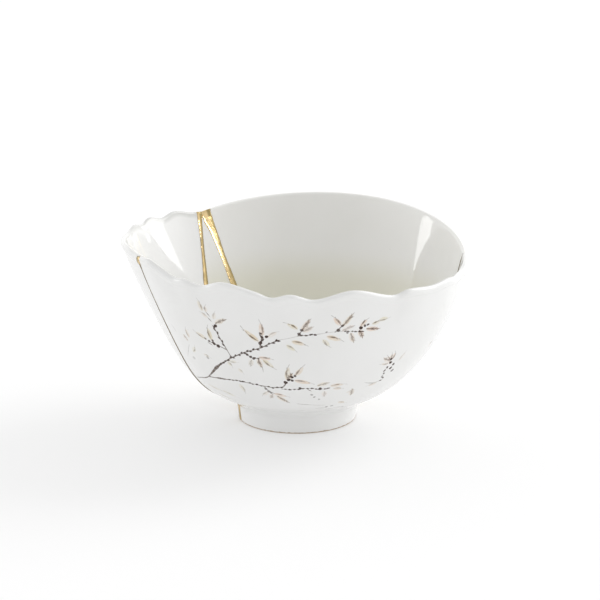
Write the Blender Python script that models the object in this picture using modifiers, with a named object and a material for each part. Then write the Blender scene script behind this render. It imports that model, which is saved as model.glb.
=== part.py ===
# Kintsugi bowl: a white porcelain bowl of two patterns, broken and joined again with gold.
# Metres, +Z up, +X to the viewer's right, +Y away from the viewer. The origin is the
# centre of the foot ring's underside. Azimuths are in degrees: 0 is the front (-Y),
# 90 is +X, and -90 is -X.

import math

import bmesh
import bpy

MM = 0.001

# The turned wall: its outer radius grows with the height above BELLY_START by a power law
RIM_RADIUS = 95.9 * MM
RIM_HEIGHT = 100.0 * MM
BELLY_START = 10.5 * MM
BELLY_POWER = 0.281
WALL_LOW = 16.6 * MM
LEAST_RISE = 0.1 * MM
SLOPE_REACH = 0.01 * MM
LIP_THICKNESS = 3.0 * MM
LIP_TOP = RIM_HEIGHT + LIP_THICKNESS / 2.0
LOWER_THICKNESS = 4.6 * MM
WALL_STEPS = 9
LIP_STEPS = 4
SEGMENTS = 114

# Below the wall an easy curve runs in to the foot, given as (radius, height)
FOOT_CURVE = [(40.0 * MM, 13.0 * MM), (35.8 * MM, 10.5 * MM)]

# The foot ring: outer radius at its top and underside, its flat underside, and its recess
FOOT_TOP_RADIUS = 33.9 * MM
FOOT_TOP = 8.6 * MM
FOOT_LOW_RADIUS = 32.8 * MM
FOOT_FLAT_OUTER = 32.0 * MM
FOOT_FLAT_INNER = 29.2 * MM
FOOT_EDGE = 0.9 * MM
RECESS_LOW_RADIUS = 28.3 * MM
RECESS_TOP_RADIUS = 26.6 * MM
RECESS_DEPTH = 7.0 * MM

# The inside floor is a shallow dish, this high at its centre
FLOOR_HEIGHT = 12.0 * MM
FLOOR_STEPS = 3

# Thrown and fired by hand, the wall leans a little to the right at mid-height
LEAN = 3.0 * MM
LEAN_SPAN = 112.0 * MM

# The plain pattern's rim is a tilted circle, highest at the back
PLAIN_RIM_MEAN = 85.9 * MM
PLAIN_RIM_RISE = 19.0 * MM
PLAIN_RIM_TOP_AZIMUTH = 165.0

# The scalloped pattern's rim: azimuth in degrees and height in mm of each crest,
# notch and shoulder, from the back left round the front to the right. The front and
# left shards are of this pattern.
SCALLOPED_SHARDS = ("front_shard", "left_shard")
SCALLOP_START = -144.0
SCALLOP_END = 94.0
SCALLOPS = [
    (-152.0, 98.6), (-141.0, 98.1), (-131.7, 101.0), (-124.8, 99.5), (-118.0, 102.0),
    (-112.7, 100.5), (-106.0, 102.3), (-99.7, 101.5), (-89.0, 102.8), (-71.0, 104.6),
    (-62.5, 104.0), (-55.0, 104.8), (-50.0, 102.0), (-43.5, 98.0), (-39.9, 98.6),
    (-33.7, 96.6), (-24.0, 100.8), (-14.0, 96.7), (-8.8, 93.4), (-2.4, 95.9),
    (5.0, 92.5), (17.5, 97.1), (34.3, 90.8), (38.9, 93.0), (52.0, 91.0),
    (59.6, 91.6), (68.0, 89.8), (76.0, 90.2), (81.0, 91.5), (90.0, 92.4), (102.0, 92.8),
]

# The rim's waves are taken up by the wall between these heights
WAVE_LOW = 50.0 * MM
WAVE_HIGH = 92.0 * MM

# The scallops also flute the wall, deep on the left shard and only at the lip in front
FLUTE_SLOPE = 0.25
FLUTE_SPREAD = 10.0
FLUTE_LOW_LEFT = 45.0 * MM
FLUTE_LOW_FRONT = 78.0 * MM
LEFT_SEAM_AZIMUTH = -61.0

# The gold seams in plan, each as points of (x, y, width) in mm. They run from beyond the
# rim inwards, and the two arms end on the main seam.
MAIN_SEAM = [
    (-104.0, -57.5, 4.4), (-86.0, -47.6, 3.6), (-80.0, -44.8, 2.0), (-70.5, -39.8, 1.8),
    (-62.5, -34.5, 1.8), (-56.0, -28.0, 2.0), (-44.0, -17.5, 2.4), (-31.0, -9.5, 2.8),
    (-18.0, -5.0, 2.8), (3.0, 7.0, 2.8), (27.0, 17.0, 2.8), (45.0, 13.0, 2.7),
    (62.0, 5.0, 2.5), (76.0, -1.5, 2.3), (84.0, -2.4, 2.0), (88.2, 0.2, 1.8),
    (91.6, 3.6, 2.4), (104.0, 8.0, 4.4),
]
LEFT_JUNCTION = 8
RIGHT_JUNCTION = 9
LEFT_ARM = [
    (-59.8, 88.0, 6.0), (-57.4, 77.3, 4.4), (-56.4, 70.6, 3.3), (-55.7, 67.4, 2.4),
    (-54.8, 64.3, 2.6), (-53.6, 60.6, 2.8), (-52.2, 55.3, 3.1), (-48.5, 44.0, 3.0),
    (-41.0, 27.0, 2.8), (-30.0, 10.0, 2.8), (-18.0, -5.0, 2.8),
]
RIGHT_ARM = [
    (-57.5, 88.0, 8.0), (-51.7, 74.5, 6.6), (-48.7, 72.3, 4.2), (-45.6, 70.7, 3.4),
    (-41.4, 68.8, 2.6), (-37.0, 65.7, 3.2), (-29.0, 58.0, 3.0), (-18.0, 44.0, 2.8),
    (-6.0, 26.0, 2.8), (3.0, 7.0, 2.8),
]

# The gold stands a little proud of the glaze, and stays off the surface under the foot
SEAM_PROUD = 0.5 * MM
SEAM_CLEAR_OF_GROUND = 0.3 * MM
JOINT_GAP = 0.3 * MM

# The plan outlines that part the bowl reach past the rim and past its top and bottom
PLAN_REACH = 140.0 * MM
PLAN_LOW = -20.0 * MM
PLAN_HIGH = 130.0 * MM

SHARP_ANGLE = math.radians(38.0)
MERGE_DISTANCE = 0.00002

# Colour, roughness and metallic value of each finish
FINISHES = {
    "scalloped_porcelain": ((0.86, 0.86, 0.85), 0.12, 0.0),
    "plain_porcelain": ((0.80, 0.80, 0.78), 0.14, 0.0),
    "gold": ((0.78, 0.56, 0.24), 0.25, 1.0),
}


# Rim and wall formulas

def wall_radius(z):
    rise = max(z - BELLY_START, LEAST_RISE) / (RIM_HEIGHT - BELLY_START)
    return RIM_RADIUS * rise ** BELLY_POWER


def smooth_step(low, high, value):
    t = min(max((value - low) / (high - low), 0.0), 1.0)
    return t * t * (3.0 - 2.0 * t)


def scallop_slope(index):
    # Level at each crest and notch, and a mean slope at a shoulder between them
    if index in (0, len(SCALLOPS) - 1):
        return 0.0
    before, here, after = SCALLOPS[index - 1:index + 2]
    rise = (here[1] - before[1]) / (here[0] - before[0])
    next_rise = (after[1] - here[1]) / (after[0] - here[0])
    if rise * next_rise <= 0.0:
        return 0.0
    return 2.0 * rise * next_rise / (rise + next_rise)


def scalloped_rim(azimuth):
    index = 0
    while index < len(SCALLOPS) - 2 and azimuth > SCALLOPS[index + 1][0]:
        index += 1
    (start, low), (end, high) = SCALLOPS[index:index + 2]
    width = end - start
    t = (azimuth - start) / width
    bend = (2 * t ** 3 - 3 * t ** 2 + 1) * low + (3 * t ** 2 - 2 * t ** 3) * high
    bend += (t ** 3 - 2 * t ** 2 + t) * width * scallop_slope(index)
    bend += (t ** 3 - t ** 2) * width * scallop_slope(index + 1)
    return bend * MM


def plain_rim(azimuth):
    turn = math.radians(azimuth - PLAIN_RIM_TOP_AZIMUTH)
    return PLAIN_RIM_MEAN + PLAIN_RIM_RISE * math.cos(turn)


def is_scalloped(azimuth):
    return SCALLOP_START < azimuth < SCALLOP_END


def rim_height(azimuth):
    return scalloped_rim(azimuth) if is_scalloped(azimuth) else plain_rim(azimuth)


def flute(azimuth, z):
    # A lobe bulges outwards where the rim stands above its neighbourhood
    if not is_scalloped(azimuth):
        return 0.0
    around = [scalloped_rim(azimuth + FLUTE_SPREAD * k / 2.0) for k in (-2, -1, 1, 2)]
    bulge = FLUTE_SLOPE * (scalloped_rim(azimuth) - sum(around) / len(around))
    low = FLUTE_LOW_LEFT if azimuth < LEFT_SEAM_AZIMUTH else FLUTE_LOW_FRONT
    return bulge * smooth_step(low, RIM_HEIGHT, z)


def lean(z):
    return LEAN * math.sin(math.pi * z / LEAN_SPAN) ** 2


# Turned profile of the whole bowl, in (radius, height)

def outer_wall():
    low = math.sqrt((WALL_LOW - BELLY_START) / (RIM_HEIGHT - BELLY_START))
    points = []
    for step in range(WALL_STEPS + 1):
        t = 1.0 + (low - 1.0) * step / WALL_STEPS
        z = BELLY_START + (RIM_HEIGHT - BELLY_START) * t * t
        points.append((wall_radius(z), z))
    return points


def wall_normal(z):
    rise = wall_radius(z + SLOPE_REACH) - wall_radius(z - SLOPE_REACH)
    slope = rise / (2.0 * SLOPE_REACH)
    length = math.hypot(1.0, slope)
    return 1.0 / length, -slope / length


def inner_wall(outer):
    points = []
    for radius, z in outer:
        share = (RIM_HEIGHT - z) / (RIM_HEIGHT - BELLY_START)
        thickness = LIP_THICKNESS + (LOWER_THICKNESS - LIP_THICKNESS) * share
        across, down = wall_normal(z)
        points.append((radius - thickness * across, z - thickness * down))
    return points


def inner_floor(edge, slope):
    # A dish that leaves the wall in the wall's own direction and is level at its centre
    radius, z = edge
    rise = z - FLOOR_HEIGHT
    power = slope * radius / rise
    shares = [step / FLOOR_STEPS for step in range(FLOOR_STEPS)]
    return [(radius * share, FLOOR_HEIGHT + rise * share ** power) for share in shares]


def lip(outer_top, inner_top):
    # A half round over the wall's end
    middle = [(a + b) / 2.0 for a, b in zip(outer_top, inner_top)]
    half = [(a - b) / 2.0 for a, b in zip(outer_top, inner_top)]
    along = (-half[1], half[0])
    points = []
    for step in range(1, LIP_STEPS):
        turn = math.pi * step / LIP_STEPS
        radius = middle[0] - half[0] * math.cos(turn) + along[0] * math.sin(turn)
        z = middle[1] - half[1] * math.cos(turn) + along[1] * math.sin(turn)
        points.append((radius, z))
    return points


def bowl_profile():
    # From the floor's centre up the inside, over the lip, and down to the recess
    outer = outer_wall()
    inner = inner_wall(outer)
    across, down = wall_normal(WALL_LOW)
    floor = inner_floor(inner[-1], -across / down)
    foot = FOOT_CURVE + [
        (FOOT_TOP_RADIUS, FOOT_TOP),
        (FOOT_LOW_RADIUS, FOOT_EDGE),
        (FOOT_FLAT_OUTER, 0.0),
        (FOOT_FLAT_INNER, 0.0),
        (RECESS_LOW_RADIUS, FOOT_EDGE),
        (RECESS_TOP_RADIUS, RECESS_DEPTH),
        (0.0, RECESS_DEPTH),
    ]
    return floor + inner[::-1] + lip(outer[0], inner[0]) + outer + foot


def grown(profile, amount):
    # The profile pushed outwards along its normals, for the gold that stands proud
    points = []
    for index, (radius, z) in enumerate(profile):
        before = profile[max(index - 1, 0)]
        after = profile[min(index + 1, len(profile) - 1)]
        step = (after[0] - before[0], after[1] - before[1])
        length = math.hypot(*step)
        on_axis = radius == 0.0
        outwards = (0.0 if on_axis else -step[1] / length, step[0] / length)
        moved = radius + amount * outwards[0], z + amount * outwards[1]
        points.append((moved[0], max(moved[1], SEAM_CLEAR_OF_GROUND)))
    return points


# Scene helpers

def clear_scene():
    for item in list(bpy.data.objects):
        bpy.data.objects.remove(item, do_unlink=True)


def new_collection(name):
    collection = bpy.data.collections.new(name)
    bpy.context.scene.collection.children.link(collection)
    return collection


def new_material(name):
    colour, roughness, metallic = FINISHES[name]
    material = bpy.data.materials.new(name)
    material.use_nodes = True
    shader = material.node_tree.nodes["Principled BSDF"]
    shader.inputs["Base Color"].default_value = (*colour, 1.0)
    shader.inputs["Roughness"].default_value = roughness
    shader.inputs["Metallic"].default_value = metallic
    return material


def as_mesh(source, name, collection):
    # The evaluated shape as a mesh object of its own, in place of its source
    bpy.context.view_layer.update()
    graph = bpy.context.evaluated_depsgraph_get()
    mesh = bpy.data.meshes.new_from_object(source.evaluated_get(graph))
    matrix = source.matrix_world.copy()
    bpy.data.objects.remove(source, do_unlink=True)
    item = bpy.data.objects.new(name, mesh)
    item.matrix_world = matrix
    collection.objects.link(item)
    return item


def add_boolean(item, operation, cutter):
    modifier = item.modifiers.new(cutter.name, "BOOLEAN")
    modifier.operation = operation
    modifier.solver = "EXACT"
    modifier.object = cutter


def make_cutter(item):
    item.hide_render = True
    item.display_type = "WIRE"


# The turned bowl, with its vertices then moved by azimuth

def turn_bowl(name, profile, collection):
    mesh = bpy.data.meshes.new(name)
    edges = [(index, index + 1) for index in range(len(profile) - 1)]
    mesh.from_pydata([(radius, 0.0, z) for radius, z in profile], edges, [])
    item = bpy.data.objects.new(name, mesh)
    collection.objects.link(item)
    screw = item.modifiers.new("turn", "SCREW")
    screw.steps = SEGMENTS
    screw.render_steps = SEGMENTS
    screw.use_merge_vertices = True
    screw.merge_threshold = MERGE_DISTANCE
    turned = as_mesh(item, name, collection)
    for vertex in turned.data.vertices:
        vertex.co = shape_point(vertex.co)
    return turned


def shape_point(point):
    # Raise the upper wall to the rim's own height, flute it, and lean the whole wall
    radius = math.hypot(point.x, point.y)
    if radius == 0.0:
        return point
    azimuth = math.degrees(math.atan2(point.x, -point.y))
    rise = (rim_height(azimuth) - LIP_TOP) * smooth_step(WAVE_LOW, WAVE_HIGH, point.z)
    z = point.z + rise
    new_radius = radius + wall_radius(z) - wall_radius(point.z) if rise else radius
    new_radius += flute(azimuth, point.z)
    share = new_radius / radius
    return point.x * share + lean(z), point.y * share, z


# Plan outlines, extruded upright through the bowl

def extrude_outline(name, outline, collection):
    curve = bpy.data.curves.new(name, "CURVE")
    curve.dimensions = "2D"
    curve.fill_mode = "BOTH"
    curve.extrude = (PLAN_HIGH - PLAN_LOW) / 2.0
    spline = curve.splines.new("POLY")
    spline.points.add(len(outline) - 1)
    for point, (x, y) in zip(spline.points, outline):
        point.co = (x, y, 0.0, 1.0)
    spline.use_cyclic_u = True
    item = bpy.data.objects.new(name, curve)
    item.location.z = (PLAN_HIGH + PLAN_LOW) / 2.0
    collection.objects.link(item)
    solid = as_mesh(item, name, collection)
    weld_caps(solid.data)
    make_cutter(solid)
    return solid


def weld_caps(mesh):
    shape = bmesh.new()
    shape.from_mesh(mesh)
    bmesh.ops.remove_doubles(shape, verts=shape.verts, dist=MERGE_DISTANCE)
    bmesh.ops.recalc_face_normals(shape, faces=shape.faces)
    shape.to_mesh(mesh)
    shape.free()


def path_points(path):
    return [(x * MM, y * MM) for x, y, _ in path]


def ribbon_outline(path, margin):
    # Both sides of a seam, each point moved square to the path by half its width
    points = path_points(path)
    left, right = [], []
    for index, (x, y) in enumerate(points):
        before = points[max(index - 1, 0)]
        after = points[min(index + 1, len(points) - 1)]
        along = (after[0] - before[0], after[1] - before[1])
        length = math.hypot(*along)
        half = path[index][2] * MM / 2.0 + margin
        side = (-along[1] / length * half, along[0] / length * half)
        left.append((x + side[0], y + side[1]))
        right.append((x - side[0], y - side[1]))
    return left + right[::-1]


def seam_network(name, margin, collection):
    main = extrude_outline(name, ribbon_outline(MAIN_SEAM, margin), collection)
    for label, path in (("left", LEFT_ARM), ("right", RIGHT_ARM)):
        arm = extrude_outline(name + "_" + label, ribbon_outline(path, margin), collection)
        add_boolean(main, "UNION", arm)
    return main


def shard_outlines():
    # Each shard's plan runs along the middles of its seams and closes far outside the rim
    main, left, right = (path_points(path) for path in (MAIN_SEAM, LEFT_ARM, RIGHT_ARM))
    far = PLAN_REACH
    return {
        "front_shard": main + [(far, 0.0), (far, -far), (-far, -far), (-far, -far / 2.0)],
        "left_shard": main[:LEFT_JUNCTION] + left[::-1] + [(-far, far), (-far, -far / 2.0)],
        "wedge_shard": left[1:-1] + main[LEFT_JUNCTION:RIGHT_JUNCTION + 1] + right[-2:0:-1],
        "back_shard": right + main[RIGHT_JUNCTION + 1:] + [(far, 0.0), (far, far), (-far / 2.0, far)],
    }


# Assembly

def finish(item, material):
    item.data.materials.clear()
    item.data.materials.append(material)
    item.data.shade_smooth()
    item.data.set_sharp_from_angle(angle=SHARP_ANGLE)


def build():
    clear_scene()
    bowl = new_collection("kintsugi_bowl")
    cutters = new_collection("cutters")
    materials = {name: new_material(name) for name in FINISHES}

    profile = bowl_profile()
    channel = seam_network("channel", JOINT_GAP, cutters)
    blank = turn_bowl("bowl_blank", profile, cutters)
    for name, outline in shard_outlines().items():
        shard = bpy.data.objects.new(name, blank.data.copy())
        bowl.objects.link(shard)
        sector = extrude_outline(name + "_plan", outline, cutters)
        add_boolean(shard, "INTERSECT", sector)
        add_boolean(shard, "DIFFERENCE", channel)
        pattern = "scalloped" if name in SCALLOPED_SHARDS else "plain"
        finish(shard, materials[pattern + "_porcelain"])
    bpy.data.objects.remove(blank, do_unlink=True)

    seams = turn_bowl("gold_seams", grown(profile, SEAM_PROUD), bowl)
    add_boolean(seams, "INTERSECT", seam_network("seam_plan", 0.0, cutters))
    finish(seams, materials["gold"])


build()
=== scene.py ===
import math
import random

import bmesh
import bpy
import numpy as np
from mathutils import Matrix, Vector, kdtree, noise


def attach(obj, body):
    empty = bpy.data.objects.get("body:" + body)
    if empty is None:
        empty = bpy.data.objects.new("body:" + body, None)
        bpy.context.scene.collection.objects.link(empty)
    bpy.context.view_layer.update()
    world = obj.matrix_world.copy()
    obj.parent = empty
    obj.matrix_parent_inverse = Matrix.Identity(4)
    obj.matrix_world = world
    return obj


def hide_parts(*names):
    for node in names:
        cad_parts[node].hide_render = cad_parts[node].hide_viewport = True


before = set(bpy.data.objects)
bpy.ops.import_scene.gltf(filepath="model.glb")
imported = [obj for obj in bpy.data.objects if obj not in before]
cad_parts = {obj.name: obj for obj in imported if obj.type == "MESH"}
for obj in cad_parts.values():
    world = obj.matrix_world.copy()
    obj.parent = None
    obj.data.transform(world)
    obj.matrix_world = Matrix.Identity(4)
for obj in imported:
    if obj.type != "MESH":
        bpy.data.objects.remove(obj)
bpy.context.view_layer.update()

mm = 0.001
fineSteps = 2000  # samples along the wall, where its length is measured
nearAxis = 1e-7  # a point closer to the axis than this stays on it
farAway = 9.0  # stands for no stroke or seam in reach


# The bowl's shape

bowlShape = {
    "rimRadius": 95.9 * mm,  # outer radius at rimHeight, before the rim's own waves
    "rimHeight": 100 * mm,
    "bellyStart": 10.5 * mm,  # the wall's radius grows from here by a power law
    "bellyPower": 0.281,
    "leastRise": 0.1 * mm,  # the power law is read no closer to bellyStart than this
    "wallLow": 16.6 * mm,  # below this the wall runs in to the foot
    "wallTop": 106 * mm,  # above every rim
    "lipThickness": 3 * mm,
    "lowerThickness": 4.6 * mm,
    "floorHeight": 12 * mm,
    "floorSteps": 14,
    # the curve from wallLow in to footTop, as (radius, height)
    "footPull": 5 * mm,  # how long it keeps to the wall's direction
    "footTopPull": (34 * mm, 11 * mm),
    "footTop": (33.9 * mm, 8.6 * mm),
    "footSteps": 10,
    # from there each curve's two pulls and end, as (radius, height) in mm, and its steps
    "footRuns": [
        ((33.5, 6), (33.1, 3), (32.8, 1), 6),  # the ring's outer side
        ((32.75, 0.3), (32.5, 0), (32, 0), 4),  # its outer edge
        ((31, 0), (30.2, 0), (29.2, 0), 2),  # the flat that it stands on
        ((28.7, 0), (28.4, 0.4), (28.3, 1), 4),  # its inner edge
        ((27.8, 3), (27, 4.6), (26.6, 6), 3),  # the recess's wall
        ((26.4, 6.7), (25.8, 7), (24.4, 7), 4),
        ((16, 7), (8, 7), (0, 7), 6),  # the recess's floor, to its centre
    ],
    "leanReach": 3 * mm,  # the wall leans this far to the right at mid-height
    "leanSpan": 112 * mm,
    "columns": 500,  # steps round the bowl
    "outerStep": 1 * mm,  # rows on the outer wall, which the print area halves twice
    "innerStep": 2.4 * mm,
    "lipSteps": 9,
    "lipBead": 0.32 * mm,  # the lip stands out from the wall by this much
    "lipBeadHeights": (97.2 * mm, 98.7 * mm),
    "lipRows": 0.35 * mm,  # finer rows down to lipRowsLow
    "lipRowsLow": 96 * mm,
    "onWallWithin": 0.05 * mm,  # points this near to the wall's curve are put on it
    "weld": 0.01 * mm,  # points closer than this are joined
    "sharpAngle": 38,  # steeper edges stay sharp
}

rimShape = {
    "plainMean": 85.9 * mm,  # the plain pattern's rim is a tilted circle
    "plainRise": 19 * mm,
    "plainTopAzimuth": 165,
    "scallopStart": -143,  # the scalloped pattern's share of the rim
    "scallopEnd": 92.8,
    "patternBlend": 1.6,  # the two patterns meet under the gold within this many degrees
    "waveLow": 50 * mm,  # the wall takes up the rim's waves between these heights
    "waveHigh": 92 * mm,
    "fluteSlope": 0.25,
    "fluteSlopeLeft": 0.05,
    "fluteSpread": 10,
    "fluteLowLeft": 45 * mm,
    "fluteLowFront": 78 * mm,
    "leftSeamAzimuth": -61,
    "leftSeamBlend": 1.5,
    "creases": (-99.7, -112.7),  # the left lobes fold at these azimuths
    "creaseHalf": 2,
    "creaseDepth": 0.14 * mm,
    # azimuth and height in mm of each crest, notch and shoulder
    "scallops": [
        (-152, 98.6), (-141, 98.1), (-131.7, 101), (-124.8, 99.5), (-118, 102),
        (-112.7, 100.5), (-106, 102.3), (-99.7, 101.5), (-89, 102.8), (-71, 104.6),
        (-62.5, 104), (-55, 104.8), (-50, 102), (-43.5, 98), (-39.9, 98.6),
        (-33.7, 96.6), (-24, 100.8), (-14, 96.7), (-8.8, 93.4), (-2.4, 95.9),
        (5, 92.5), (17.5, 97.1), (34.3, 90.8), (38.9, 93), (52, 91),
        (59.6, 91.6), (68, 89.8), (76, 90.2), (81, 91.5), (90, 92.4), (102, 92.8),
    ],
}

lipTop = bowlShape["rimHeight"] + bowlShape["lipThickness"] / 2


def smoothStep(low, high, value):
    t = np.clip((value - low) / (high - low), 0, 1)
    return t * t * (3 - 2 * t)


def azimuthOf(x, y):
    return np.degrees(np.arctan2(x, -y))


def wallRadius(z):
    shape = bowlShape
    climbed = np.maximum(z - shape["bellyStart"], shape["leastRise"])
    rise = climbed / (shape["rimHeight"] - shape["bellyStart"])
    return shape["rimRadius"] * rise ** shape["bellyPower"]


def wallLengths(heights):
    # how far along the wall each height lies from the first one
    steps = np.hypot(np.diff(wallRadius(heights)), np.diff(heights))
    return np.concatenate(([0], np.cumsum(steps)))


def scallopSlopes(azimuths, heights):
    # level at crests and notches, a mean slope at the shoulders between them
    rise = np.diff(heights) / np.diff(azimuths)
    slopes = np.zeros(len(azimuths))
    before, after = rise[:-1], rise[1:]
    climbing = before * after > 0
    slopes[1:-1][climbing] = (2 * before * after)[climbing] / (before + after)[climbing]
    return slopes


scallopAzimuths, scallopHeights = np.array(rimShape["scallops"]).T
scallopTilts = scallopSlopes(scallopAzimuths, scallopHeights)


def scallopedRim(azimuth):
    last = len(scallopAzimuths) - 2
    index = np.clip(np.searchsorted(scallopAzimuths, azimuth) - 1, 0, last)
    width = scallopAzimuths[index + 1] - scallopAzimuths[index]
    t = np.clip((azimuth - scallopAzimuths[index]) / width, 0, 1)
    bend = (2 * t ** 3 - 3 * t ** 2 + 1) * scallopHeights[index]
    bend += (3 * t ** 2 - 2 * t ** 3) * scallopHeights[index + 1]
    bend += (t ** 3 - 2 * t ** 2 + t) * width * scallopTilts[index]
    bend += (t ** 3 - t ** 2) * width * scallopTilts[index + 1]
    return bend * mm


def scallopShare(azimuth):
    # 1 on the scalloped pattern, 0 on the plain one
    half = rimShape["patternBlend"] / 2
    start, end = rimShape["scallopStart"], rimShape["scallopEnd"]
    begun = smoothStep(start - half, start + half, azimuth)
    return begun * (1 - smoothStep(end - half, end + half, azimuth))


def rimHeightAt(azimuth):
    turn = np.radians(azimuth - rimShape["plainTopAzimuth"])
    plain = rimShape["plainMean"] + rimShape["plainRise"] * np.cos(turn)
    share = scallopShare(azimuth)
    return plain + (scallopedRim(azimuth) - plain) * share


def flute(azimuth, z):
    # a lobe bulges outwards where the rim stands above its neighbourhood
    shape = rimShape
    around = sum(scallopedRim(azimuth + shape["fluteSpread"] * k / 2) for k in (-2, -1, 1, 2)) / 4
    blend = shape["leftSeamBlend"]
    isLeft = smoothStep(blend, -blend, azimuth - shape["leftSeamAzimuth"])
    slope = shape["fluteSlope"] + (shape["fluteSlopeLeft"] - shape["fluteSlope"]) * isLeft
    bulge = slope * (scallopedRim(azimuth) - around) * scallopShare(azimuth)
    for crease in shape["creases"]:
        fold = np.exp(-((azimuth - crease) / shape["creaseHalf"]) ** 2)
        bulge = bulge - shape["creaseDepth"] * fold
    low = shape["fluteLowFront"] + (shape["fluteLowLeft"] - shape["fluteLowFront"]) * isLeft
    return bulge * smoothStep(low, bowlShape["rimHeight"], z)


def lean(z):
    return bowlShape["leanReach"] * np.sin(math.pi * z / bowlShape["leanSpan"]) ** 2


def shapeWall(points):
    # raise the upper wall to the rim's own height, flute it and lean the whole wall
    x, y, z = points.T
    radius = np.hypot(x, y)
    azimuth = azimuthOf(x, y)
    rise = (rimHeightAt(azimuth) - lipTop) * smoothStep(rimShape["waveLow"], rimShape["waveHigh"], z)
    newZ = z + rise
    newRadius = radius + wallRadius(newZ) - wallRadius(z) + flute(azimuth, z)
    share = np.where(radius > nearAxis, newRadius / np.maximum(radius, nearAxis), 1)
    return np.stack((x * share + lean(newZ), y * share, newZ), 1)


def bezierRow(start, startPull, endPull, end, steps):
    ts = np.linspace(0, 1, steps + 1)[:, None]
    corners = [np.array(point) for point in (start, startPull, endPull, end)]
    shares = [(1 - ts) ** 3, 3 * ts * (1 - ts) ** 2, 3 * ts ** 2 * (1 - ts), ts ** 3]
    return sum(share * corner for share, corner in zip(shares, corners))


def wallNormals(z):
    step = 0.01 * mm
    slope = (wallRadius(z + step) - wallRadius(z - step)) / (2 * step)
    length = np.hypot(1, slope)
    return np.stack((1 / length, -slope / length), 1)


def wallRows(step):
    # heights from the lip down to wallLow, evenly spaced along the wall
    shape = bowlShape
    heights = np.linspace(shape["rimHeight"], shape["wallLow"], fineSteps)
    along = wallLengths(heights)
    count = round(along[-1] / step)
    return np.interp(np.linspace(0, along[-1], count + 1), along, heights)


def innerWall(z):
    shape = bowlShape
    share = (shape["rimHeight"] - z) / (shape["rimHeight"] - shape["bellyStart"])
    thickness = shape["lipThickness"] + (shape["lowerThickness"] - shape["lipThickness"]) * share
    return np.stack((wallRadius(z), z), 1) - wallNormals(z) * thickness[:, None]


def innerFloor(edge, slope, steps):
    # a dish that leaves the wall in the wall's own direction and is level at its centre
    radius, z = edge
    rise = z - bowlShape["floorHeight"]
    shares = np.linspace(0, 1, steps + 1)[:-1]
    heights = bowlShape["floorHeight"] + rise * shares ** (slope * radius / rise)
    return np.stack((radius * shares, heights), 1)


def halfRound(outer, inner, steps):
    middle, half = (outer + inner) / 2, (outer - inner) / 2
    along = np.array((-half[1], half[0]))
    turns = np.pi * np.arange(1, steps)[:, None] / steps
    return middle - half * np.cos(turns) + along * np.sin(turns)


def footRows():
    # from the wall's low end down the foot ring, and over its underside to the recess's centre
    shape = bowlShape
    low = np.array([shape["wallLow"]])
    start = np.array((wallRadius(low)[0], shape["wallLow"]))
    across, down = wallNormals(low)[0]
    startPull = start + shape["footPull"] * np.array((down, -across))
    runs = [bezierRow(start, startPull, shape["footTopPull"], shape["footTop"], shape["footSteps"])]
    for *corners, steps in shape["footRuns"]:
        runs.append(bezierRow(runs[-1][-1], *np.array(corners) * mm, steps))
    return np.concatenate([run[1:] for run in runs])


def bowlProfile(outerStep, innerStep):
    # from the floor's centre up the inside, over the lip, and down the outside to the recess
    shape = bowlShape
    heights = wallRows(outerStep)
    lipHeights = np.arange(shape["rimHeight"], shape["lipRowsLow"], -shape["lipRows"])
    heights = np.concatenate((lipHeights, heights[heights < shape["lipRowsLow"]]))
    bead = shape["lipBead"] * smoothStep(*shape["lipBeadHeights"], heights)
    outer = np.stack((wallRadius(heights) + bead, heights), 1)
    inner = innerWall(wallRows(innerStep))
    across, down = wallNormals(np.array([shape["wallLow"]]))[0]
    floor = innerFloor(inner[-1], -across / down, shape["floorSteps"])
    lip = halfRound(outer[0], inner[0], shape["lipSteps"])
    return np.concatenate((floor, inner[::-1], lip, outer, footRows()))


def turnProfile(profile, columns):
    # one slice is spun, and then repeated round the axis
    slices = 10
    turn = math.tau / slices
    bm = bmesh.new()
    verts = [bm.verts.new((radius, 0, z)) for radius, z in profile]
    edges = [bm.edges.new(pair) for pair in zip(verts, verts[1:])]
    bmesh.ops.spin(bm, geom=verts + edges, cent=(0, 0, 0), axis=(0, 0, 1), angle=turn,
                   steps=columns // slices)
    bmesh.ops.spin(bm, geom=bm.verts[:] + bm.edges[:] + bm.faces[:], cent=(0, 0, 0), axis=(0, 0, 1),
                   angle=math.tau - turn, steps=slices - 1, use_duplicate=True)
    bmesh.ops.remove_doubles(bm, verts=bm.verts, dist=bowlShape["weld"])
    bmesh.ops.recalc_face_normals(bm, faces=bm.faces)
    return bm


def newObject(name, bm):
    mesh = bpy.data.meshes.new(name)
    bm.to_mesh(mesh)
    bm.free()
    item = bpy.data.objects.new(name, mesh)
    bpy.context.scene.collection.objects.link(item)
    return item


def pointsOf(mesh):
    points = np.empty(len(mesh.vertices) * 3)
    mesh.vertices.foreach_get("co", points)
    return points.reshape(-1, 3)


def movePoints(mesh, points):
    mesh.vertices.foreach_set("co", points.ravel())
    mesh.update()


def applyModifiers(item):
    graph = bpy.context.evaluated_depsgraph_get()
    mesh = bpy.data.meshes.new_from_object(item.evaluated_get(graph))
    item.modifiers.clear()
    item.data = mesh


def cut(item, operation, cutter):
    modifier = item.modifiers.new(operation, "BOOLEAN")
    modifier.operation = operation
    modifier.solver = "EXACT"
    modifier.object = cutter
    applyModifiers(item)
    bpy.data.objects.remove(cutter, do_unlink=True)


# The seams in plan

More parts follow.
